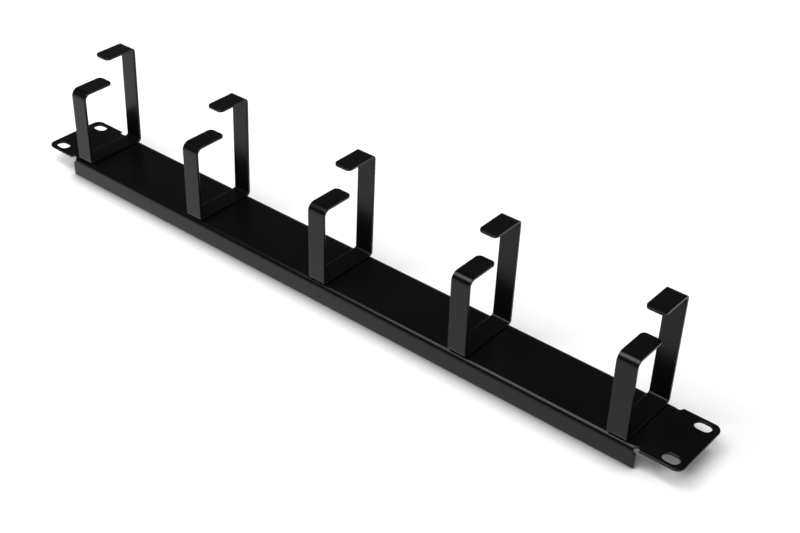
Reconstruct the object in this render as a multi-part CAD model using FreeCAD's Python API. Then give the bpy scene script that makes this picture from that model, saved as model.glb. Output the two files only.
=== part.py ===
import FreeCAD, Part
import math
import os

# Rack cable management panel, millimetres, +Z up out of the panel's face.
# X runs along the panel, Y from its front flange to its back flange.
# Z = 0 is the back face of the two ears, the face that meets the rack's rails.

# Folded panel
panel_length = 482.6
panel_thickness = 1.8
body_height = 43.7
ear_height = 43.7
ear_length = 25.5
ear_corner_radius = 5.0
flange_depth = 13.5
panel_bend_radius = 1.8
relief_radius = 1.8

# Rack screw slots
slot_end_distance = 8.75
slot_spacing_y = 31.75
slot_length = 9.5
slot_width = 6.5

# Cable rings, each bent from one flat strip
ring_count = 5
end_ring_distance = 37.7
ring_depth = 43.0
strip_width = 12.0
strip_thickness = 1.7
near_arm_height = 51.3
far_arm_height = 68.4
near_lip_length = 23.8
far_lip_length = 23.2
near_bend_radius = 3.3
far_bend_radius = 1.3
foot_bend_radius = 1.2
lip_corner_radius = 3.0
far_arm_lean = 1.3

face_z = panel_thickness
flange_end_x = panel_length / 2 - ear_length
slot_x = panel_length / 2 - slot_end_distance
end_ring_x = panel_length / 2 - end_ring_distance
same_length = 1e-6


def vector(x, y, z):
    return FreeCAD.Vector(x, y, z)


def moved_left(points, distance):
    """The run of points, moved to its left as seen with Y to the right and Z up."""
    runs = [(b - a).normalize() for a, b in zip(points, points[1:])]
    sides = [vector(0, -run.z, run.y) for run in runs]
    moved = [points[0] + sides[0] * distance]
    for point, side, next_side in zip(points[1:], sides, sides[1:]):
        moved.append(point + (side + next_side) * (distance / (1 + side.dot(next_side))))
    moved.append(points[-1] + sides[-1] * distance)
    return moved


def rounded_run(points, radii):
    """Edges along the points, with an arc of the next radius at each inner point."""
    edges = []
    here = points[0]
    for before, corner, after, radius in zip(points, points[1:], points[2:], radii):
        arriving = (corner - before).normalize()
        leaving = (after - corner).normalize()
        towards_centre = (leaving - arriving).normalize()
        half_turn = arriving.getAngle(leaving) / 2
        start = corner - arriving * (radius * math.tan(half_turn))
        middle = corner + towards_centre * (radius / math.cos(half_turn) - radius)
        end = corner + leaving * (radius * math.tan(half_turn))
        edges.append(Part.makeLine(here, start))
        edges.append(Part.Arc(start, middle, end).toShape())
        here = end
    edges.append(Part.makeLine(here, points[-1]))
    return edges


def bent_sheet(outer_corners, inside_radii, thickness, width, middle_x):
    """Sheet that turns left at each inner corner of its outer side, extruded along X."""
    outer = [vector(middle_x - width / 2, y, z) for y, z in outer_corners]
    inner = moved_left(outer, thickness)
    edges = rounded_run(outer, [radius + thickness for radius in inside_radii])
    edges += rounded_run(inner, inside_radii)
    edges += [Part.makeLine(outer[i], inner[i]) for i in (0, -1)]
    section = Part.Face(Part.Wire(Part.__sortEdges__(edges)))
    return section.extrude(vector(width, 0, 0))


def corner_edges(solid, thickness):
    """Upright edges as long as the sheet is thick, at the corners of its outline."""
    found = []
    for edge in solid.Edges:
        rise = abs(edge.Vertexes[0].Z - edge.Vertexes[-1].Z)
        lengths = (rise, edge.Length)
        if all(math.isclose(length, thickness, abs_tol=same_length) for length in lengths):
            found.append(edge)
    return found


def centred_box(length, width, bottom, top):
    return Part.makeBox(length, width, top - bottom, vector(-length / 2, -width / 2, bottom))


def make_slot(x, y):
    """Upright obround cutter through an ear, long way along X."""
    bottom = -panel_thickness
    top = 2 * panel_thickness
    straight = slot_length - slot_width
    cutter = centred_box(straight, slot_width, bottom, top)
    for end_x in (-straight / 2, straight / 2):
        round_end = Part.makeCylinder(slot_width / 2, top - bottom, vector(end_x, 0, bottom))
        cutter = cutter.fuse(round_end)
    return cutter.translated(vector(x, y, 0))


def make_ears():
    """Both flat ears, with round outer corners and the four screw slots."""
    plate = centred_box(panel_length, ear_height, 0, panel_thickness)
    plate = plate.makeFillet(ear_corner_radius, corner_edges(plate, panel_thickness))
    between_ears = centred_box(2 * flange_end_x, ear_height, 0, panel_thickness)
    slots = [
        make_slot(side_x * slot_x, side_y * slot_spacing_y / 2)
        for side_x in (-1, 1)
        for side_y in (-1, 1)
    ]
    return plate.cut([between_ears] + slots)


def make_relief(side_x, side_y):
    """Round relief where a flange ends beside an ear, bored slantwise through the fold."""
    middle = vector(side_x * flange_end_x, side_y * ear_height / 2, panel_thickness / 2)
    outwards = vector(0, side_y, 1).normalize()
    reach = 2 * (panel_thickness + panel_bend_radius)
    return Part.makeCylinder(relief_radius, 2 * reach, middle + outwards * reach, -outwards)


def make_panel():
    half_body = body_height / 2
    foot_z = face_z - flange_depth
    corners = [(half_body, foot_z), (half_body, face_z), (-half_body, face_z), (-half_body, foot_z)]
    body = bent_sheet(corners, [panel_bend_radius] * 2, panel_thickness, 2 * flange_end_x, 0)
    reliefs = [make_relief(side_x, side_y) for side_x in (-1, 1) for side_y in (-1, 1)]
    return body.fuse(make_ears()).removeSplitter().cut(reliefs)


def make_ring(middle_x):
    """One ring: short arm and its lip in front, foot on the face, taller arm and its lip behind."""
    near_y = -ring_depth / 2
    far_y = ring_depth / 2
    near_top_z = face_z + near_arm_height
    far_top_z = face_z + far_arm_height
    far_top_y = far_y + far_arm_height * math.tan(math.radians(far_arm_lean))
    corners = [
        (near_y + near_lip_length, near_top_z),
        (near_y, near_top_z),
        (near_y, face_z),
        (far_y, face_z),
        (far_top_y, far_top_z),
        (far_top_y - far_lip_length, far_top_z),
    ]
    radii = [near_bend_radius, foot_bend_radius, foot_bend_radius, far_bend_radius]
    ring = bent_sheet(corners, radii, strip_thickness, strip_width, middle_x)
    return ring.makeFillet(lip_corner_radius, corner_edges(ring, strip_thickness))


def main():
    os.makedirs("parts", exist_ok=True)
    make_panel().exportStep("parts/panel.step")
    ring_pitch = 2 * end_ring_x / (ring_count - 1)
    for i in range(ring_count):
        make_ring(i * ring_pitch - end_ring_x).exportStep(f"parts/ring_{i + 1}.step")


main()
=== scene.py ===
import math

import bmesh
import bpy
from mathutils import Euler, Matrix, Vector


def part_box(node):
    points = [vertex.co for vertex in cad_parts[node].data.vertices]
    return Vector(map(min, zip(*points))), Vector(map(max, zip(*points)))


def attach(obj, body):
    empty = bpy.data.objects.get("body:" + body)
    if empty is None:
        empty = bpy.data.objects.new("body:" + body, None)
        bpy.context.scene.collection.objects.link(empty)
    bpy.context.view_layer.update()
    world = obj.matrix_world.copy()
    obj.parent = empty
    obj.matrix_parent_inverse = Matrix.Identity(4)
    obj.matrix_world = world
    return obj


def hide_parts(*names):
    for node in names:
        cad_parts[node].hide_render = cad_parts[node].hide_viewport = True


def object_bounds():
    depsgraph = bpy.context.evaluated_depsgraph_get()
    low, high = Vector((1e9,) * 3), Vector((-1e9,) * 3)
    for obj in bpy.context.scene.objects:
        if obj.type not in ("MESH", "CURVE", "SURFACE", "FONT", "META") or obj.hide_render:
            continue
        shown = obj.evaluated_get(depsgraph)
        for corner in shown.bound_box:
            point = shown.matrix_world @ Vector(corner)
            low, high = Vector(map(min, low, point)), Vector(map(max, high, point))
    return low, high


bl_info = {
    "name": "Rack cable management panel",
    "version": (1, 0, 0),
    "blender": (4, 5, 0),
    "location": "3D View > Sidebar > Cable panel",
    "description": "Folded rack panel with five bent cable rings in black powder coat",
    "category": "Object",
}

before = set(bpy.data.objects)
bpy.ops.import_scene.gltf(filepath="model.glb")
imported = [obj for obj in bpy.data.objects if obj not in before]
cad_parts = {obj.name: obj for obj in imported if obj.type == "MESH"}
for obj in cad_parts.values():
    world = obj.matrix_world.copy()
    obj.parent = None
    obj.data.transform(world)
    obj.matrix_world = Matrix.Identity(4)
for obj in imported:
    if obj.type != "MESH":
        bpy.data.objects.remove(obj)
cad_low, cad_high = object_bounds()
panel_low, panel_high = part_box("panel")
ring_low, ring_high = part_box("ring_1")

BODY = "root"
RING_NODES = sorted(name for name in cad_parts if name.startswith("ring_"))
MM = 0.001

# Steps round one bend: enough for a smooth highlight at the size of the render.
BEND_STEPS = 14
# Steps round a coated edge, round a quarter or half turn of an outline, and round the small
# corner of a flange.
EDGE_STEPS = 3
ARC_STEPS = 12
SMALL_ARC_STEPS = 4
# Steps along X over a relief, where the folded body turns into the flat ear.
RELIEF_STEPS = 6

# The blank is drawn in millimetres. Points nearer each other than this are merged.
SAME_POINT = 0.002
# Slivers narrower than this are dissolved.
SLIVER_WIDTH = 0.0005
# Points nearer a cut than this count as on it.
ON_THE_CUT = 0.0001
# Faces that turn by less than this are one plane.
SAME_PLANE = math.radians(0.5)

# How far inside the ear's edge a relief is punched, as a share of its radius.
RELIEF_INSET = 0.3

# Flat From, Flat Past and Flat Shift of a strip that bends over its whole width: the distances
# lie far outside it.
NOWHERE_FLAT = (10.0, 11.0, (0.0, 0.0, 0.0))

# How strongly large faces win over small ones in the shading: 50 is neutral and 100 the most.
FLAT_FACE_WEIGHT = 80

# The coat's thickness drifts over this width and moves its roughness between these offsets.
DRIFT_WIDTH = 0.035
GLOSS_DRIFT = (-0.02, 0.03)
# Depths of the coat's gentle waves and of its fine grain, in metres.
PEEL_DEPTH = 0.000004
GRAIN_DEPTH = 0.0000015

# The softbox hangs in front of the table and is turned towards the panel's middle.
SOFTBOX_PLACE = (-0.06, -0.58, 1.32)
SOFTBOX_TARGET = (0.0, 0.0, 0.0)
SOFTBOX_WIDTH = 1.52
SOFTBOX_DEPTH = 0.9

# The paper needs the least glow to show as white at LAMP_FOOT. The glow it needs rises between
# these two distances from there.
LAMP_FOOT = (0.15, -0.45, 0.0)
GLOW_START = 0.05
GLOW_END = 1.75
# The paper runs this far from its middle to each side.
PAPER_REACH = 8.0
# Reach and samples of the contact shadow painted into the paper.
CONTACT_SHADOW_WIDTH = 0.014
CONTACT_SHADOW_SAMPLES = 16


def mm(value):
    return value / MM


def size(name, description, default):
    """A length property in metres."""
    return bpy.props.FloatProperty(
        name=name,
        description=description,
        default=default,
        min=0.0,
        precision=5,
        unit="LENGTH",
    )


def hex_to_linear(code):
    """Linear RGBA of an sRGB colour written as RRGGBB."""
    channels = [int(code[i : i + 2], 16) / 255 for i in (0, 2, 4)]
    linear = [c / 12.92 if c <= 0.04045 else ((c + 0.055) / 1.055) ** 2.4 for c in channels]
    return (*linear, 1.0)


class CablePanelSizes(bpy.types.PropertyGroup):
    """Sizes of the folded panel."""

    length: size("Length", "End to end over both ears", panel_high.x - panel_low.x)
    ear_height: size("Ear height", "Height of the flat ears", panel_high.y - panel_low.y)
    thickness: size("Thickness", "Thickness of the sheet", panel_high.z)
    flange_depth: size("Flange depth", "Depth of both flanges", panel_high.z - panel_low.z)
    body_height: size("Body height", "Height over both flanges", 0.0437)
    ear_length: size("Ear length", "Length of each flat ear", 0.0255)
    ear_corner: size("Ear corner", "Radius of an ear's corners", 0.0050)
    flange_corner: size("Flange corner", "Radius of a flange's corners", 0.0009)
    bend_radius: size("Bend radius", "Inside radius of both folds", 0.0018)
    relief_radius: size("Relief radius", "Round relief where a flange ends", 0.00175)
    slot_from_end: size("Slot from end", "From the panel's end to a slot's middle", 0.00875)
    slot_spacing: size("Slot spacing", "Between the two slots of one ear", 0.03175)
    slot_length: size("Slot length", "Long way of a screw slot", 0.0095)
    slot_width: size("Slot width", "Short way of a screw slot", 0.0065)
    edge_softness: size("Edge softness", "Radius of the coated edges", 0.00068)


class CableRingSizes(bpy.types.PropertyGroup):
    """Sizes of one ring and how the five stand."""

    width: size("Strip width", "Width of the strip", ring_high.x - ring_low.x)
    thickness: size("Strip thickness", "Thickness of the strip", 0.0017)
    depth: size("Ring depth", "Over both arms at the foot", 0.0430)
    near_arm: size("Short arm", "Height of the short arm over the panel", 0.0513)
    far_arm: size("Tall arm", "Height of the tall arm over the panel", 0.0684)
    near_lip: size("Short arm's lip", "Length of the lip on the short arm", 0.0238)
    far_lip: size("Tall arm's lip", "Length of the lip on the tall arm", 0.0232)
    near_bend: size("Short arm's bend", "Inside radius under the lip", 0.0033)
    far_bend: size("Tall arm's bend", "Inside radius under the lip", 0.0013)
    foot_bend: size("Foot bend", "Inside radius at the foot", 0.0012)
    lip_corner: size("Lip corner", "Radius of a lip's corners", 0.0030)
    edge_softness: size("Edge softness", "Radius of the coated edges", 0.00035)
    far_lean: bpy.props.FloatProperty(
        name="Tall arm's lean",
        description="How far the tall arm leans out",
        default=math.radians(1.3),
        subtype="ANGLE",
    )


class CablePanelCoat(bpy.types.PropertyGroup):
    """Black powder coat on every piece."""

    colour: bpy.props.StringProperty(
        name="Coat colour",
        description="Colour of the coat, as an sRGB hex value",
        default="0D0D0E",
    )
    gloss_roughness: bpy.props.FloatProperty(
        name="Roughness",
        description="Roughness of the semi-gloss coat",
        default=0.22,
        min=0.0,
        max=1.0,
    )
    peel_size: size("Orange peel", "Width of the coat's gentle waves", 0.0016)
    grain_size: size("Grain", "Width of the coat's fine grain", 0.0004)


class CablePanelStudio(bpy.types.PropertyGroup):
    """Camera, softbox, paper, backdrop and reflector."""

    lens: bpy.props.FloatProperty(
        name="Lens",
        description="Focal length of the camera",
        default=63.1826,
        min=1.0,
        unit="CAMERA",
    )
    camera_place: bpy.props.FloatVectorProperty(
        name="Camera place",
        description="Where the camera stands",
        default=(0.450365, -0.507784, 0.471276),
        subtype="TRANSLATION",
    )
    camera_turn: bpy.props.FloatVectorProperty(
        name="Camera turn",
        description="How the camera is turned",
        default=tuple(math.radians(a) for a in (55.361394, -1.437529, 39.644270)),
        subtype="EULER",
    )
    softbox_power: bpy.props.FloatProperty(
        name="Softbox power",
        description="Power of the softbox over the table",
        default=25.5,
        min=0.0,
        unit="POWER",
    )
    near_glow: bpy.props.FloatProperty(
        name="Glow under the lamp",
        description="How much the paper glows right under the lamp",
        default=0.11,
        min=0.0,
    )
    far_glow: bpy.props.FloatProperty(
        name="Glow far off",
        description="How much the paper glows where the lamp no longer reaches it",
        default=1.1,
        min=0.0,
    )
    backdrop_level: bpy.props.FloatProperty(
        name="Backdrop level",
        description="Level of the pale backdrop at the horizon",
        default=1.0,
        min=0.0,
    )
    reflector_level: bpy.props.FloatProperty(
        name="Reflector level",
        description="Level of the dim reflector behind the table",
        default=0.07,
        min=0.0,
    )
    room_level: bpy.props.FloatProperty(
        name="Room level",
        description="Level of the dim studio over the table",
        default=0.005,
        min=0.0,
    )


def add_node(tree, kind, settings=None, inputs=None, links=None):
    """Adds a node, sets its settings and input values, and links its inputs."""
    node = tree.nodes.new(kind)
    for key, value in (settings or {}).items():
        setattr(node, key, value)
    for key, value in (inputs or {}).items():
        node.inputs[key].default_value = value
    for key, source in (links or {}).items():
        tree.links.new(source, node.inputs[key])
    return node


def black_powder_coat(coat):
    """Semi-gloss black polyester powder baked on steel.

    The powder flows into a smooth, hard skin, so the eye sees near black with soft grey
    reflections. Gentle waves, called orange peel, and a fine grain break them up a little.
    """
    material = bpy.data.materials.new("Black powder coat, semi-gloss")
    material.use_nodes = True
    tree = material.node_tree
    tree.nodes.clear()
    place = add_node(tree, "ShaderNodeTexCoord").outputs["Object"]

    # The peel's waves are a millimetre or two wide and a few thousandths deep.
    peel = add_node(
        tree,
        "ShaderNodeTexNoise",
        inputs={"Scale": 1 / coat.peel_size, "Detail": 1.0, "Roughness": 0.4},
        links={"Vector": place},
    )
    # Real grain is about 0.05 mm, too fine for the render, so it is drawn at 0.4 mm.
    grain = add_node(
        tree,
        "ShaderNodeTexNoise",
        inputs={"Scale": 1 / coat.grain_size, "Detail": 2.0, "Roughness": 0.6},
        links={"Vector": place},
    )
    # Coat thickness drifts over some centimetres and shifts the gloss slightly.
    drift = add_node(
        tree,
        "ShaderNodeTexNoise",
        inputs={"Scale": 1 / DRIFT_WIDTH, "Detail": 2.0},
        links={"Vector": place},
    )
    roughness = add_node(
        tree,
        "ShaderNodeMapRange",
        inputs={
            "From Min": 0.3,
            "From Max": 0.7,
            "To Min": coat.gloss_roughness + GLOSS_DRIFT[0],
            "To Max": coat.gloss_roughness + GLOSS_DRIFT[1],
        },
        links={"Value": drift.outputs["Fac"]},
    )
    shade = add_node(
        tree,
        "ShaderNodeMapRange",
        inputs={"From Min": 0.35, "From Max": 0.65, "To Min": 0.85, "To Max": 1.15},
        links={"Value": grain.outputs["Fac"]},
    )
    colour = add_node(
        tree,
        "ShaderNodeVectorMath",
        settings={"operation": "SCALE"},
        inputs={0: hex_to_linear(coat.colour)[:3]},
        links={"Scale": shade.outputs["Result"]},
    )
    waves = add_node(
        tree,
        "ShaderNodeBump",
        inputs={"Strength": 1.0, "Distance": PEEL_DEPTH},
        links={"Height": peel.outputs["Fac"]},
    )
    surface = add_node(
        tree,
        "ShaderNodeBump",
        inputs={"Strength": 1.0, "Distance": GRAIN_DEPTH},
        links={"Height": grain.outputs["Fac"], "Normal": waves.outputs["Normal"]},
    )
    shader = add_node(
        tree,
        "ShaderNodeBsdfPrincipled",
        inputs={
            "IOR": 1.33,
            # The coat's reflections are very slightly cool.
            "Specular Tint": (0.91, 0.94, 1.0, 1.0),
        },
        links={
            "Base Color": colour.outputs["Vector"],
            "Roughness": roughness.outputs["Result"],
            "Normal": surface.outputs["Normal"],
        },
    )
    add_node(
        tree,
        "ShaderNodeOutputMaterial",
        links={"Surface": shader.outputs["BSDF"]},
    )
    return material


def shared_coat(context):
    """The one coat that every piece wears."""
    found = bpy.data.materials.get("Black powder coat, semi-gloss")
    return found or black_powder_coat(context.scene.cable_panel_coat)


def arc(centre_x, centre_y, radius, from_degrees, to_degrees, steps=ARC_STEPS):
    """Points along an arc, ends included."""
    points = []
    for i in range(steps + 1):
        angle = math.radians(from_degrees + (to_degrees - from_degrees) * i / steps)
        points.append((centre_x + radius * math.cos(angle), centre_y + radius * math.sin(angle)))
    return points


def obround(centre_x, centre_y, length, width):
    """Outline of a slot, long way along X."""
    half = (length - width) / 2
    right = arc(centre_x + half, centre_y, width / 2, -90, 90)
    left = arc(centre_x - half, centre_y, width / 2, 90, 270)
    return right + left


def cut_blank(name, loops, thickness, softness):
    """Flat plate with rounded edges from its outline and holes, drawn in millimetres."""
    curve = bpy.data.curves.new(name, "CURVE")
    curve.dimensions = "2D"
    curve.fill_mode = "BOTH"
    curve.extrude = thickness / 2 - softness
    curve.bevel_depth = softness
    curve.bevel_resolution = EDGE_STEPS
    curve.offset = -softness
    for loop in loops:
        spline = curve.splines.new("POLY")
        spline.points.add(len(loop) - 1)
        for point, (x, y) in zip(spline.points, loop):
            point.co = (x, y, 0, 1)
        spline.use_cyclic_u = True
    plate = bpy.data.objects.new(name, curve)
    bpy.context.scene.collection.objects.link(plate)
    evaluated = plate.evaluated_get(bpy.context.evaluated_depsgraph_get())
    mesh = bpy.data.meshes.new_from_object(evaluated)
    bpy.data.objects.remove(plate)
    bpy.data.curves.remove(curve)
    return mesh


def score(mesh, cuts_x, cuts_y):
    """Cleans the filled blank and divides it along lines across X and across Y."""
    form = bmesh.new()
    form.from_mesh(mesh)
    bmesh.ops.remove_doubles(form, verts=form.verts, dist=SAME_POINT)
    # Slots in one row leave slivers of no width between them when the outline is filled.
    bmesh.ops.dissolve_degenerate(form, edges=form.edges, dist=SLIVER_WIDTH)
    bmesh.ops.dissolve_limit(form, angle_limit=SAME_PLANE, verts=form.verts, edges=form.edges)
    for direction, cuts in (((1, 0, 0), cuts_x), ((0, 1, 0), cuts_y)):
        for cut in cuts:
            bmesh.ops.bisect_plane(
                form,
                geom=form.verts[:] + form.edges[:] + form.faces[:],
                dist=ON_THE_CUT,
                plane_co=Vector(direction) * cut,
                plane_no=direction,
            )
    form.to_mesh(mesh)
    form.free()


def path_runs(corners, radii):
    """Spans of length along the rounded path, one for each bend, and its whole length."""
    points = [Vector((y, z)) for y, z in corners]
    spans = []
    travelled = 0.0
    used = 0.0
    for before, corner, after, radius in zip(points, points[1:], points[2:], radii):
        turn = (corner - before).angle(after - corner)
        setback = radius * math.tan(turn / 2)
        travelled += (corner - before).length - used - setback
        spans.append((travelled, travelled + radius * turn))
        travelled += radius * turn
        used = setback
    whole = travelled + (points[-1] - points[-2]).length - used
    return spans, whole


def bend_cuts(spans):
    """Places along the path at which the blank is divided, so that it bends smoothly."""
    return [
        start + (end - start) * i / BEND_STEPS
        for start, end in spans
        for i in range(BEND_STEPS + 1)
    ]


def bending_tree():
    """Geometry Nodes that bend a flat blank along a rounded path in the YZ plane.

    The blank lies in XY with its length along Y from 0. Past Flat From in X it stays flat.
    """
    found = bpy.data.node_groups.get("Bend sheet along path")
    if found:
        return found
    tree = bpy.data.node_groups.new("Bend sheet along path", "GeometryNodeTree")
    socket = tree.interface.new_socket
    socket("Blank", in_out="INPUT", socket_type="NodeSocketGeometry")
    socket("Path", in_out="INPUT", socket_type="NodeSocketObject")
    socket("Blank Length", in_out="INPUT", socket_type="NodeSocketFloat")
    socket("Middle X", in_out="INPUT", socket_type="NodeSocketFloat")
    socket("Flat From", in_out="INPUT", socket_type="NodeSocketFloat")
    socket("Flat Past", in_out="INPUT", socket_type="NodeSocketFloat")
    socket("Flat Shift", in_out="INPUT", socket_type="NodeSocketVector")
    socket("Coat", in_out="INPUT", socket_type="NodeSocketMaterial")
    socket("Bent Sheet", in_out="OUTPUT", socket_type="NodeSocketGeometry")
    given = add_node(tree, "NodeGroupInput").outputs
    path = add_node(
        tree,
        "GeometryNodeObjectInfo",
        settings={"transform_space": "ORIGINAL"},
        links={"Object": given["Path"]},
    )
    rounded = add_node(
        tree,
        "GeometryNodeFilletCurve",
        settings={"mode": "POLY"},
        inputs={"Count": BEND_STEPS},
        links={
            "Curve": path.outputs["Geometry"],
            "Radius": add_node(tree, "GeometryNodeInputRadius").outputs["Radius"],
        },
    )
    place = add_node(tree, "GeometryNodeInputPosition").outputs["Position"]
    flat = add_node(tree, "ShaderNodeSeparateXYZ", links={"Vector": place}).outputs
    share = add_node(
        tree,
        "ShaderNodeMath",
        settings={"operation": "DIVIDE"},
        links={0: flat["Y"], 1: given["Blank Length"]},
    )
    along = add_node(
        tree,
        "GeometryNodeSampleCurve",
        settings={"mode": "FACTOR", "use_all_curves": True},
        links={"Curves": rounded.outputs["Curve"], "Factor": share.outputs["Value"]},
    )
    leftwards = add_node(
        tree,
        "ShaderNodeVectorMath",
        settings={"operation": "CROSS_PRODUCT"},
        inputs={0: (1.0, 0.0, 0.0)},
        links={1: along.outputs["Tangent"]},
    )
    lifted = add_node(
        tree,
        "ShaderNodeVectorMath",
        settings={"operation": "SCALE"},
        links={0: leftwards.outputs["Vector"], "Scale": flat["Z"]},
    )
    across = add_node(tree, "ShaderNodeCombineXYZ", links={"X": flat["X"]})
    on_path = add_node(
        tree,
        "ShaderNodeVectorMath",
        settings={"operation": "ADD"},
        links={0: along.outputs["Position"], 1: lifted.outputs["Vector"]},
    )
    bent = add_node(
        tree,
        "ShaderNodeVectorMath",
        settings={"operation": "ADD"},
        links={0: on_path.outputs["Vector"], 1: across.outputs["Vector"]},
    )
    unbent = add_node(
        tree,
        "ShaderNodeVectorMath",
        settings={"operation": "ADD"},
        links={0: place, 1: given["Flat Shift"]},
    )
    from_middle = add_node(
        tree,
        "ShaderNodeMath",
        settings={"operation": "ABSOLUTE"},
        links={0: flat["X"]},
    )
    flatness = add_node(
        tree,
        "ShaderNodeMapRange",
        settings={"interpolation_type": "SMOOTHSTEP"},
        links={
            "Value": from_middle.outputs["Value"],
            "From Min": given["Flat From"],
            "From Max": given["Flat Past"],
        },
    )
    shaped = add_node(
        tree,
        "ShaderNodeMix",
        settings={"data_type": "VECTOR"},
        links={
            0: flatness.outputs["Result"],
            4: bent.outputs["Vector"],
            5: unbent.outputs["Vector"],
        },
    )
    step_aside = add_node(tree, "ShaderNodeCombineXYZ", links={"X": given["Middle X"]})
    placed = add_node(
        tree,
        "GeometryNodeSetPosition",
        links={
            "Geometry": given["Blank"],
            "Position": shaped.outputs[1],
            "Offset": step_aside.outputs["Vector"],
        },
    )
    realized = add_node(
        tree, "GeometryNodeRealizeInstances", links={"Geometry": placed.outputs["Geometry"]}
    )
    coated = add_node(
        tree,
        "GeometryNodeSetMaterial",
        links={"Geometry": realized.outputs["Geometry"], "Material": given["Coat"]},
    )
    add_node(tree, "NodeGroupOutput", links={"Bent Sheet": coated.outputs["Geometry"]})
    return tree


def path_object(corners, radii):
    """Sharp-cornered path in the YZ plane; each inner point carries its bend radius."""
    curve = bpy.data.curves.new("Bend path", "CURVE")
    curve.dimensions = "3D"
    spline = curve.splines.new("POLY")
    spline.points.add(len(corners) - 1)
    for point, (y, z), radius in zip(spline.points, corners, [0.0, *radii, 0.0]):
        point.co = (0, y, z, 1)
        point.radius = radius
    holder = bpy.data.objects.new("Bend path", curve)
    bpy.context.scene.collection.objects.link(holder)
    return holder


def bend_blank(name, blank, corners, radii, whole, coat, middle_x=0.0, flat=NOWHERE_FLAT):
    """The finished piece: the blank bent along the path by Geometry Nodes, as a plain mesh."""
    blank.transform(Matrix.Scale(MM, 4))
    piece = bpy.data.objects.new(name, blank)
    bpy.context.scene.collection.objects.link(piece)
    path = path_object(corners, radii)
    tree = bending_tree()
    modifier = piece.modifiers.new("Bend", "NODES")
    modifier.node_group = tree
    flat_from, flat_past, flat_shift = flat
    values = {
        "Path": path,
        "Blank Length": whole,
        "Middle X": middle_x,
        "Flat From": flat_from,
        "Flat Past": flat_past,
        "Flat Shift": flat_shift,
        "Coat": coat,
    }
    for item in tree.interface.items_tree:
        if item.in_out == "INPUT" and item.name in values:
            modifier[item.identifier] = values[item.name]
    weights = piece.modifiers.new("Flat faces stay flat", "WEIGHTED_NORMAL")
    weights.weight = FLAT_FACE_WEIGHT
    for polygon in blank.polygons:
        polygon.use_smooth = True
    evaluated = piece.evaluated_get(bpy.context.evaluated_depsgraph_get())
    finished = bpy.data.meshes.new_from_object(evaluated)
    finished.name = name
    piece.modifiers.clear()
    piece.data = finished
    bpy.data.meshes.remove(blank)
    bpy.data.objects.remove(path)
    return piece


def mirrored(points, side_x, side_y):
    """The points in another quarter, turned round where needed so that the run stays in order."""
    moved = [(side_x * x, side_y * y) for x, y in points]
    return moved if side_x * side_y > 0 else moved[::-1]


class CABLE_OT_make_panel(bpy.types.Operator):
    """Cuts the panel's blank, folds both flanges and coats it"""

    bl_idname = "cable_panel.make_panel"
    bl_label = "Make the folded panel"

    def execute(self, context):
        s = context.scene.cable_panel_sizes
        mid_radius = s.bend_radius + s.thickness / 2
        half_body = s.body_height / 2 - s.thickness / 2
        mid_face = s.thickness / 2
        foot_z = s.thickness - s.flange_depth
        corners = [
            (-half_body, foot_z),
            (-half_body, mid_face),
            (half_body, mid_face),
            (half_body, foot_z),
        ]
        radii = [mid_radius, mid_radius]
        spans, whole = path_runs(corners, radii)
        half_blank = mm(whole) / 2
        end_x = mm(s.length / 2 - s.ear_length)
        ear_x = mm(s.length / 2)
        ear_y = mm(s.ear_height / 2)
        corner = mm(s.ear_corner)
        small = mm(s.flange_corner)
        relief = mm(s.relief_radius)
        # The relief is punched a little inside the ear's edge, where the fold ends.
        relief_y = ear_y - relief * RELIEF_INSET
        ear_meets = math.degrees(math.asin((ear_y - relief_y) / relief))
        quarter = arc(ear_x - corner, ear_y - corner, corner, 0, 90)
        quarter += arc(end_x, relief_y, relief, ear_meets, -270, 2 * ARC_STEPS)
        quarter += arc(end_x - small, half_blank - small, small, 0, 90, SMALL_ARC_STEPS)
        outline = quarter.copy()
        for side_x, side_y in ((-1, 1), (-1, -1), (1, -1)):
            outline += mirrored(quarter, side_x, side_y)
        slot_x = mm(s.length / 2 - s.slot_from_end)
        slot_y = mm(s.slot_spacing / 2)
        slots = [
            obround(side_x * slot_x, side_y * slot_y, mm(s.slot_length), mm(s.slot_width))
            for side_x in (-1, 1)
            for side_y in (-1, 1)
        ]
        blank = cut_blank("Panel blank", [outline] + slots, mm(s.thickness), mm(s.edge_softness))
        blank.transform(Matrix.Translation((0, half_blank, 0)))
        at_reliefs = [
            side * (end_x + relief * i / RELIEF_STEPS)
            for side in (-1, 1)
            for i in range(RELIEF_STEPS + 1)
        ]
        score(blank, at_reliefs, [mm(cut) for cut in bend_cuts(spans)])
        flat = (end_x * MM, (end_x + relief) * MM, (0.0, -whole / 2, mid_face))
        piece = bend_blank(
            "rack_panel", blank, corners, radii, whole, shared_coat(context), flat=flat
        )
        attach(piece, BODY)
        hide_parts("panel")
        return {"FINISHED"}


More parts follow.
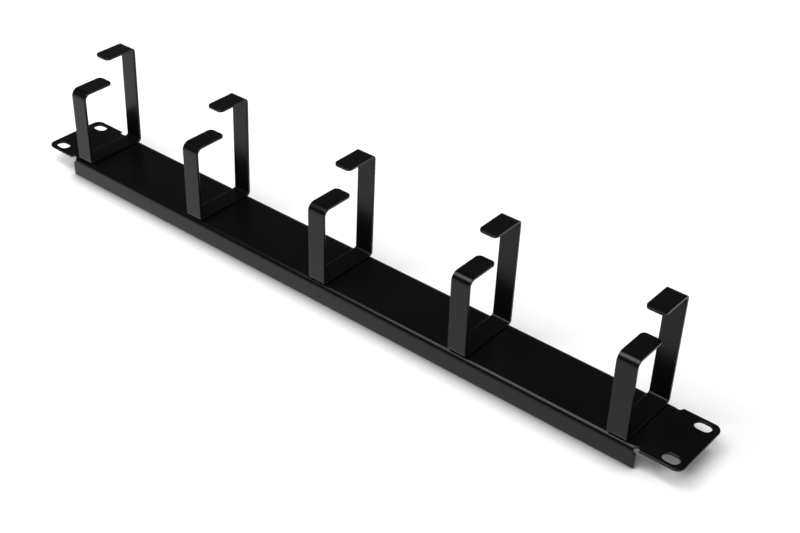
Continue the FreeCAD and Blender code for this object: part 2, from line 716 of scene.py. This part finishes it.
class CABLE_OT_make_rings(bpy.types.Operator):
    """Cuts each ring's strip, bends it and coats it"""

    bl_idname = "cable_panel.make_rings"
    bl_label = "Make the cable rings"

    def execute(self, context):
        s = context.scene.cable_ring_sizes
        face = context.scene.cable_panel_sizes.thickness
        half = s.thickness / 2
        near_y = -s.depth / 2
        far_y = s.depth / 2
        lean = math.tan(s.far_lean)
        foot_z = face + half
        near_z = face + s.near_arm - half
        far_z = face + s.far_arm - half
        far_side = half / math.cos(s.far_lean)
        far_foot_y = far_y + half * lean - far_side
        far_top_y = far_y + (s.far_arm - half) * lean - far_side
        corners = [
            (near_y + s.near_lip, near_z),
            (near_y + half, near_z),
            (near_y + half, foot_z),
            (far_foot_y, foot_z),
            (far_top_y, far_z),
            (far_y + s.far_arm * lean - s.far_lip, far_z),
        ]
        radii = [bend + half for bend in (s.near_bend, s.foot_bend, s.foot_bend, s.far_bend)]
        spans, whole = path_runs(corners, radii)
        length = mm(whole)
        side = mm(s.width / 2)
        corner = mm(s.lip_corner)
        outline = arc(side - corner, corner, corner, -90, 0)
        outline += arc(side - corner, length - corner, corner, 0, 90)
        outline += arc(corner - side, length - corner, corner, 90, 180)
        outline += arc(corner - side, corner, corner, 180, 270)
        for node in RING_NODES:
            low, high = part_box(node)
            blank = cut_blank("Ring blank", [outline], mm(s.thickness), mm(s.edge_softness))
            score(blank, [], [mm(cut) for cut in bend_cuts(spans)])
            piece = bend_blank(
                "cable_" + node,
                blank,
                corners,
                radii,
                whole,
                shared_coat(context),
                middle_x=(low.x + high.x) / 2,
            )
            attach(piece, BODY)
            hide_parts(node)
        return {"FINISHED"}


def pale_paper(near_glow, far_glow):
    """Matt white paper, seen as an even white with soft shadows and a painted contact shadow.

    The lamp's light falls off over some metres, and the paper's glow makes up for it.
    """
    material = bpy.data.materials.new("White studio paper, matt")
    material.use_nodes = True
    tree = material.node_tree
    tree.nodes.clear()
    # A soft contact shadow is painted into the paper's colour and glow beside the object, from
    # ambient occlusion; glossy rays see the paper without it.
    openness = add_node(
        tree,
        "ShaderNodeAmbientOcclusion",
        settings={"samples": CONTACT_SHADOW_SAMPLES},
        inputs={"Distance": CONTACT_SHADOW_WIDTH},
    )
    painted_shadow_ramp = add_node(
        tree,
        "ShaderNodeMapRange",
        inputs={"From Min": 0.5, "From Max": 0.95, "To Min": 0.25, "To Max": 1.0},
        links={"Value": openness.outputs["AO"]},
    )
    seen = add_node(tree, "ShaderNodeLightPath").outputs
    # Painted contact shadow, kept out of the paper's reflections.
    painted_contact_shadow = add_node(
        tree,
        "ShaderNodeMath",
        settings={"operation": "MAXIMUM"},
        links={0: painted_shadow_ramp.outputs["Result"], 1: seen["Is Glossy Ray"]},
    )
    # The paper's colour, darkened by the painted contact shadow.
    shade = add_node(
        tree,
        "ShaderNodeVectorMath",
        settings={"operation": "SCALE"},
        inputs={0: hex_to_linear("F2F2F2")[:3]},
        links={"Scale": painted_contact_shadow.outputs["Value"]},
    )
    paper = add_node(tree, "ShaderNodeBsdfDiffuse", links={"Color": shade.outputs["Vector"]})
    direct = add_node(
        tree,
        "ShaderNodeMath",
        settings={"operation": "MAXIMUM"},
        links={0: seen["Is Camera Ray"], 1: seen["Is Glossy Ray"]},
    )
    any_direct = add_node(
        tree,
        "ShaderNodeMath",
        settings={"operation": "MAXIMUM"},
        links={0: direct.outputs["Value"], 1: seen["Is Transmission Ray"]},
    )
    place = add_node(tree, "ShaderNodeTexCoord").outputs["Object"]
    distance = add_node(
        tree,
        "ShaderNodeVectorMath",
        settings={"operation": "DISTANCE"},
        inputs={1: LAMP_FOOT},
        links={0: place},
    )
    needed = add_node(
        tree,
        "ShaderNodeMapRange",
        settings={"interpolation_type": "SMOOTHSTEP"},
        inputs={
            "From Min": GLOW_START,
            "From Max": GLOW_END,
            "To Min": near_glow,
            "To Max": far_glow,
        },
        links={"Value": distance.outputs["Value"]},
    )
    level = add_node(
        tree,
        "ShaderNodeMath",
        settings={"operation": "MULTIPLY"},
        links={0: any_direct.outputs["Value"], 1: needed.outputs["Result"]},
    )
    # The glow is darkened by the painted contact shadow as well.
    glow_with_painted_shadow = add_node(
        tree,
        "ShaderNodeMath",
        settings={"operation": "MULTIPLY"},
        links={0: level.outputs["Value"], 1: painted_contact_shadow.outputs["Value"]},
    )
    glow = add_node(tree, "ShaderNodeEmission", links={"Strength": glow_with_painted_shadow.outputs["Value"]})
    both = add_node(
        tree,
        "ShaderNodeAddShader",
        links={0: paper.outputs["BSDF"], 1: glow.outputs["Emission"]},
    )
    add_node(tree, "ShaderNodeOutputMaterial", links={"Surface": both.outputs["Shader"]})
    return material


def studio_room(backdrop_level, reflector_level, room_level):
    """Pale backdrop behind and beside the table that fades upwards into a dim studio."""
    world = bpy.data.worlds.new("Studio with pale backdrop")
    world.use_nodes = True
    tree = world.node_tree
    tree.nodes.clear()
    sky = add_node(tree, "ShaderNodeTexCoord").outputs["Generated"]
    towards = add_node(tree, "ShaderNodeSeparateXYZ", links={"Vector": sky}).outputs
    faded = add_node(
        tree,
        "ShaderNodeMapRange",
        settings={"interpolation_type": "SMOOTHSTEP"},
        inputs={"From Min": 0.14, "From Max": 0.23, "To Min": 1.0, "To Max": 0.0},
        links={"Value": towards["Z"]},
    )
    # A long dim reflector stands behind the table, parallel to the panel.
    ahead = add_node(
        tree,
        "ShaderNodeMath",
        settings={"operation": "MAXIMUM"},
        inputs={1: 0.05},
        links={0: towards["Y"]},
    )
    steepness = add_node(
        tree,
        "ShaderNodeMath",
        settings={"operation": "DIVIDE"},
        links={0: towards["Z"], 1: ahead.outputs["Value"]},
    )
    fill = add_node(
        tree,
        "ShaderNodeMapRange",
        settings={"interpolation_type": "SMOOTHSTEP"},
        inputs={
            "From Min": 0.76,
            "From Max": 0.96,
            "To Min": room_level + reflector_level,
            "To Max": room_level,
        },
        links={"Value": steepness.outputs["Value"]},
    )
    # The side that the pictures are taken from is left dark.
    behind = add_node(
        tree,
        "ShaderNodeMapRange",
        settings={"interpolation_type": "SMOOTHSTEP"},
        inputs={"From Min": -0.75, "From Max": -0.35},
        links={"Value": towards["Y"]},
    )
    backdrop = add_node(
        tree,
        "ShaderNodeMath",
        settings={"operation": "MULTIPLY"},
        links={0: faded.outputs["Result"], 1: behind.outputs["Result"]},
    )
    level = add_node(
        tree,
        "ShaderNodeMath",
        settings={"operation": "MULTIPLY_ADD"},
        inputs={1: backdrop_level},
        links={0: backdrop.outputs["Value"], 2: fill.outputs["Result"]},
    )
    room = add_node(
        tree,
        "ShaderNodeBackground",
        inputs={"Color": (1.0, 1.0, 1.0, 1.0)},
        links={"Strength": level.outputs["Value"]},
    )
    add_node(tree, "ShaderNodeOutputWorld", links={"Surface": room.outputs["Background"]})
    return world


def soft_lamp(name, place, target, width, depth, power):
    """Rectangular softbox turned towards a point."""
    lamp = bpy.data.lights.new(name, "AREA")
    lamp.shape = "RECTANGLE"
    lamp.size = width
    lamp.size_y = depth
    lamp.energy = power
    holder = bpy.data.objects.new(name, lamp)
    holder.location = place
    holder.rotation_euler = (Vector(target) - Vector(place)).to_track_quat("-Z", "Y").to_euler()
    bpy.context.scene.collection.objects.link(holder)
    return holder


class CABLE_OT_make_stage(bpy.types.Operator):
    """Sets up the camera, the softbox, the dim room and the white floor"""

    bl_idname = "cable_panel.make_stage"
    bl_label = "Make the studio"

    def execute(self, context):
        s = context.scene.cable_panel_studio
        scene = context.scene

        camera = bpy.data.cameras.new("Camera")
        camera.lens = s.lens
        camera.sensor_width = 36.0
        camera.sensor_fit = "HORIZONTAL"
        camera.clip_start = 0.01
        camera.clip_end = 100.0
        holder = bpy.data.objects.new("Camera", camera)
        holder.location = s.camera_place
        holder.rotation_euler = Euler(s.camera_turn, "XYZ")
        scene.collection.objects.link(holder)
        scene.camera = holder

        floor_mesh = bpy.data.meshes.new("floor")
        corners = [
            (side_x * PAPER_REACH, side_y * PAPER_REACH, cad_low.z)
            for side_x, side_y in ((-1, -1), (1, -1), (1, 1), (-1, 1))
        ]
        floor_mesh.from_pydata(corners, [], [(0, 1, 2, 3)])
        floor = bpy.data.objects.new("floor", floor_mesh)
        floor_mesh.materials.append(pale_paper(s.near_glow, s.far_glow))
        scene.collection.objects.link(floor)

        soft_lamp(
            "Softbox",
            SOFTBOX_PLACE,
            SOFTBOX_TARGET,
            SOFTBOX_WIDTH,
            SOFTBOX_DEPTH,
            s.softbox_power,
        )
        scene.world = studio_room(s.backdrop_level, s.reflector_level, s.room_level)
        scene.view_settings.view_transform = "Standard"
        return {"FINISHED"}


class CABLE_PT_panel(bpy.types.Panel):
    """Lists the steps that make the panel"""

    bl_idname = "CABLE_PT_panel"
    bl_label = "Cable panel"
    bl_space_type = "VIEW_3D"
    bl_region_type = "UI"
    bl_category = "Cable panel"

    def draw(self, context):
        scene = context.scene
        for operator in OPERATORS:
            self.layout.operator(operator.bl_idname)
        for group in SETTINGS:
            box = self.layout.box()
            settings = getattr(scene, group)
            for key in settings.__annotations__:
                box.prop(settings, key)


SETTINGS = {
    "cable_panel_sizes": CablePanelSizes,
    "cable_ring_sizes": CableRingSizes,
    "cable_panel_coat": CablePanelCoat,
    "cable_panel_studio": CablePanelStudio,
}
OPERATORS = (CABLE_OT_make_panel, CABLE_OT_make_rings, CABLE_OT_make_stage)


def register():
    for group in SETTINGS.values():
        bpy.utils.register_class(group)
    for operator in OPERATORS:
        bpy.utils.register_class(operator)
    bpy.utils.register_class(CABLE_PT_panel)
    for name, group in SETTINGS.items():
        setattr(bpy.types.Scene, name, bpy.props.PointerProperty(type=group))


def unregister():
    for name in SETTINGS:
        delattr(bpy.types.Scene, name)
    bpy.utils.unregister_class(CABLE_PT_panel)
    for operator in reversed(OPERATORS):
        bpy.utils.unregister_class(operator)
    for group in reversed(list(SETTINGS.values())):
        bpy.utils.unregister_class(group)


def main():
    register()
    bpy.ops.cable_panel.make_stage()
    bpy.ops.cable_panel.make_panel()
    bpy.ops.cable_panel.make_rings()


if __name__ == "__main__":
    main()
